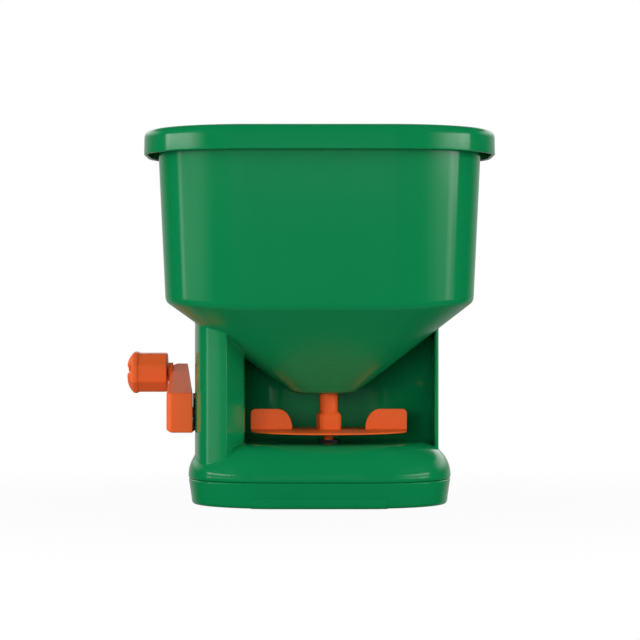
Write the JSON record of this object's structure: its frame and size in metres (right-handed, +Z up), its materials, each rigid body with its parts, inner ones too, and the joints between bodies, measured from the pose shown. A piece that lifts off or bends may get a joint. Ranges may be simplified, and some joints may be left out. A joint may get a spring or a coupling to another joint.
{
  "type": "hand crank spreader",
  "caption": "Hand-held broadcast spreader: tapered hopper over a vaned spinner that a side crank drives through gears, with a flow gate and a rear handle.",
  "frame": {"origin": "on the floor under the middle of the base, at the spinner axis's depth", "axes": "+X to the viewer's right seen from the spinner side (the crank is on -X), +Y to the back (the handle), +Z up"},
  "size_m": [0.2409, 0.2207, 0.24],
  "materials": {
    "green_plastic": "satin moulded green plastic",
    "orange_plastic": "satin moulded orange plastic",
    "steel": "zinc-plated steel",
    "gear_nylon": "natural nylon",
    "bush_plastic": "black acetal"
  },
  "bodies": {
    "frame": {"hopper": "green_plastic", "housing": "green_plastic", "base_pan": "green_plastic", "outlet_cover": "green_plastic", "handle_left": "green_plastic", "handle_right": "green_plastic", "crank_bush": "bush_plastic", "crank_inner_bush": "bush_plastic", "deck_bush": "bush_plastic", "floor_bush": "bush_plastic", "layshaft_bush_left": "bush_plastic", "layshaft_bush_right": "bush_plastic", "base_screws": "steel", "hopper_screws": "steel", "outlet_screws": "steel", "handle_screws": "steel", "handle_clamp_screws": "steel"},
    "crank": {"crank_arm": "orange_plastic", "crank_shaft": "steel", "crank_gear": "gear_nylon", "crank_screw": "steel", "crank_clip": "steel", "grip_pin": "steel"},
    "grip": {"crank_grip": "orange_plastic", "grip_cap": "orange_plastic"},
    "layshaft": {"layshaft": "steel", "layshaft_pinion": "gear_nylon", "layshaft_bevel": "gear_nylon", "layshaft_clip": "steel"},
    "spinner": {"spinner": "orange_plastic", "spinner_shaft": "orange_plastic", "spinner_bevel": "gear_nylon", "agitator": "orange_plastic", "agitator_screw": "steel"},
    "gate": {"gate_plate": "orange_plastic", "gate_knob": "orange_plastic"}
  },
  "joints": [
    {"name": "crank_turn", "type": "hinge", "parent": "frame", "child": "crank", "pos_m": [-0.08, 0, 0.059], "axis": [1, 0, 0], "continuous": true},
    {"name": "grip_spin", "type": "hinge", "parent": "crank", "child": "grip", "pos_m": [-0.113, 0.05007, 0.08407], "axis": [1, 0, 0], "continuous": true},
    {"name": "layshaft_turn", "type": "hinge", "parent": "frame", "child": "layshaft", "pos_m": [-0.04, 0, 0.019], "axis": [1, 0, 0], "continuous": true},
    {"name": "spinner_turn", "type": "hinge", "parent": "frame", "child": "spinner", "pos_m": [0.006, 0, 0.05], "axis": [0, 0, 1], "continuous": true},
    {"name": "gate_turn", "type": "hinge", "parent": "frame", "child": "gate", "pos_m": [0.006, 0, 0.0755], "axis": [0, 0, -1], "range_deg": [0, 32]}
  ],
  "couplings": [
    {"joint": "layshaft_turn", "follows": "crank_turn", "ratio": -3.5714},
    {"joint": "spinner_turn", "follows": "crank_turn", "ratio": -4.5918}
  ]
}
